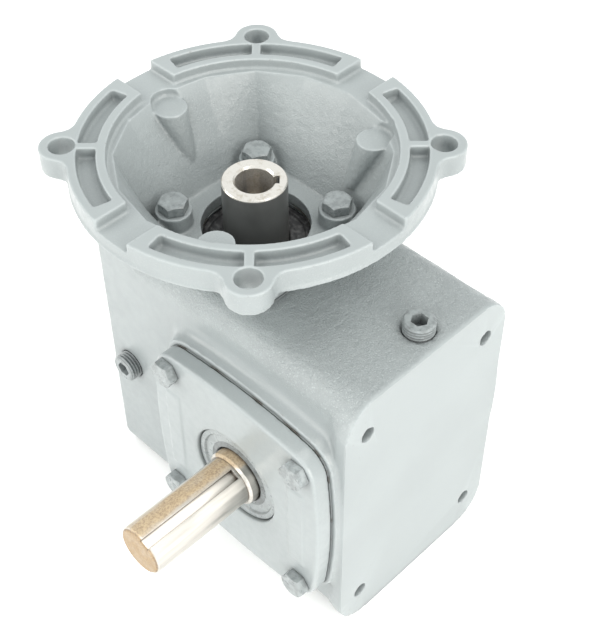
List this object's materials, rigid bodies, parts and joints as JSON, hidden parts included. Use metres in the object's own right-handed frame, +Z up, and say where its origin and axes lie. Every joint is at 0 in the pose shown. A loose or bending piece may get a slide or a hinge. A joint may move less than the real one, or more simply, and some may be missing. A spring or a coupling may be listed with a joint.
{
  "type": "worm gear reducer",
  "caption": "Right-angle worm gear reducer with a round motor flange, hollow input shaft, bronze wheel and a solid keyed output shaft at the side.",
  "frame": {"origin": "where the input shaft's axis meets the base of the housing", "axes": "+Z up the input shaft's axis to the motor flange, -Y out along the output shaft, +X to the machined mounting face with four tapped holes"},
  "size_m": [0.1691, 0.1831, 0.19],
  "materials": {
    "grey_paint": "gloss machine grey over cast iron",
    "painted_bolt": "painted steel",
    "turned_steel": "turned and ground, light rust",
    "gear_steel": "case-hardened and ground",
    "bearing_steel": "ground",
    "ball_steel": "polished",
    "cage_steel": "pressed sheet",
    "bronze": "hobbed gear bronze",
    "spring_steel": "oiled",
    "seal_rubber": "moulded nitrile",
    "gasket_fibre": "pressed fibre sheet"
  },
  "bodies": {
    "case": {"housing": "grey_paint", "motor_flange": "grey_paint", "output_cover": "grey_paint", "rear_cover": "grey_paint", "output_seal_case": "grey_paint", "bore_cap": "grey_paint", "fill_plug": "grey_paint", "front_level_plug": "grey_paint", "rear_level_plug": "grey_paint", "drain_plug": "grey_paint", "flange_bolts": "painted_bolt", "output_cover_bolts": "painted_bolt", "rear_cover_bolts": "painted_bolt", "upper_retaining_ring": "spring_steel", "lower_retaining_ring": "spring_steel", "output_seal_spring": "spring_steel", "input_seal_spring": "spring_steel", "flange_gasket": "gasket_fibre", "output_cover_gasket": "gasket_fibre", "rear_cover_gasket": "gasket_fibre", "output_seal_lip": "seal_rubber", "input_seal_lip": "seal_rubber", "input_seal_case": "spring_steel", "output_bearing_outer_race": "bearing_steel", "rear_bearing_outer_race": "bearing_steel", "upper_bearing_outer_race": "bearing_steel", "lower_bearing_outer_race": "bearing_steel"},
    "output": {"output_shaft": "turned_steel", "wheel_key": "gear_steel", "worm_wheel": "bronze", "wheel_retaining_ring": "spring_steel", "output_bearing_inner_race": "bearing_steel", "rear_bearing_inner_race": "bearing_steel"},
    "input": {"worm_shaft": "gear_steel", "upper_bearing_inner_race": "bearing_steel", "lower_bearing_inner_race": "bearing_steel"},
    "output_rollers": {"output_bearing_balls": "ball_steel", "output_bearing_cage": "cage_steel"},
    "rear_rollers": {"rear_bearing_balls": "ball_steel", "rear_bearing_cage": "cage_steel"},
    "upper_rollers": {"upper_bearing_balls": "ball_steel", "upper_bearing_cage": "cage_steel"},
    "lower_rollers": {"lower_bearing_balls": "ball_steel", "lower_bearing_cage": "cage_steel"}
  },
  "joints": [
    {"name": "output_spin", "type": "hinge", "parent": "case", "child": "output", "pos_m": [0.04445, 0, 0.073], "axis": [0, -1, 0], "continuous": true},
    {"name": "input_spin", "type": "hinge", "parent": "case", "child": "input", "pos_m": [0, 0, 0.073], "axis": [0, 0, 1], "continuous": true},
    {"name": "output_rollers_spin", "type": "hinge", "parent": "case", "child": "output_rollers", "pos_m": [0.04445, 0, 0.073], "axis": [0, -1, 0], "continuous": true},
    {"name": "rear_rollers_spin", "type": "hinge", "parent": "case", "child": "rear_rollers", "pos_m": [0.04445, 0, 0.073], "axis": [0, -1, 0], "continuous": true},
    {"name": "upper_rollers_spin", "type": "hinge", "parent": "case", "child": "upper_rollers", "pos_m": [0, 0, 0.073], "axis": [0, 0, 1], "continuous": true},
    {"name": "lower_rollers_spin", "type": "hinge", "parent": "case", "child": "lower_rollers", "pos_m": [0, 0, 0.073], "axis": [0, 0, 1], "continuous": true}
  ],
  "couplings": [
    {"joint": "input_spin", "follows": "output_spin", "ratio": 30},
    {"joint": "output_rollers_spin", "follows": "output_spin", "ratio": 0.3958},
    {"joint": "rear_rollers_spin", "follows": "output_spin", "ratio": 0.3958},
    {"joint": "upper_rollers_spin", "follows": "output_spin", "ratio": 13.13},
    {"joint": "lower_rollers_spin", "follows": "output_spin", "ratio": 11.421}
  ]
}
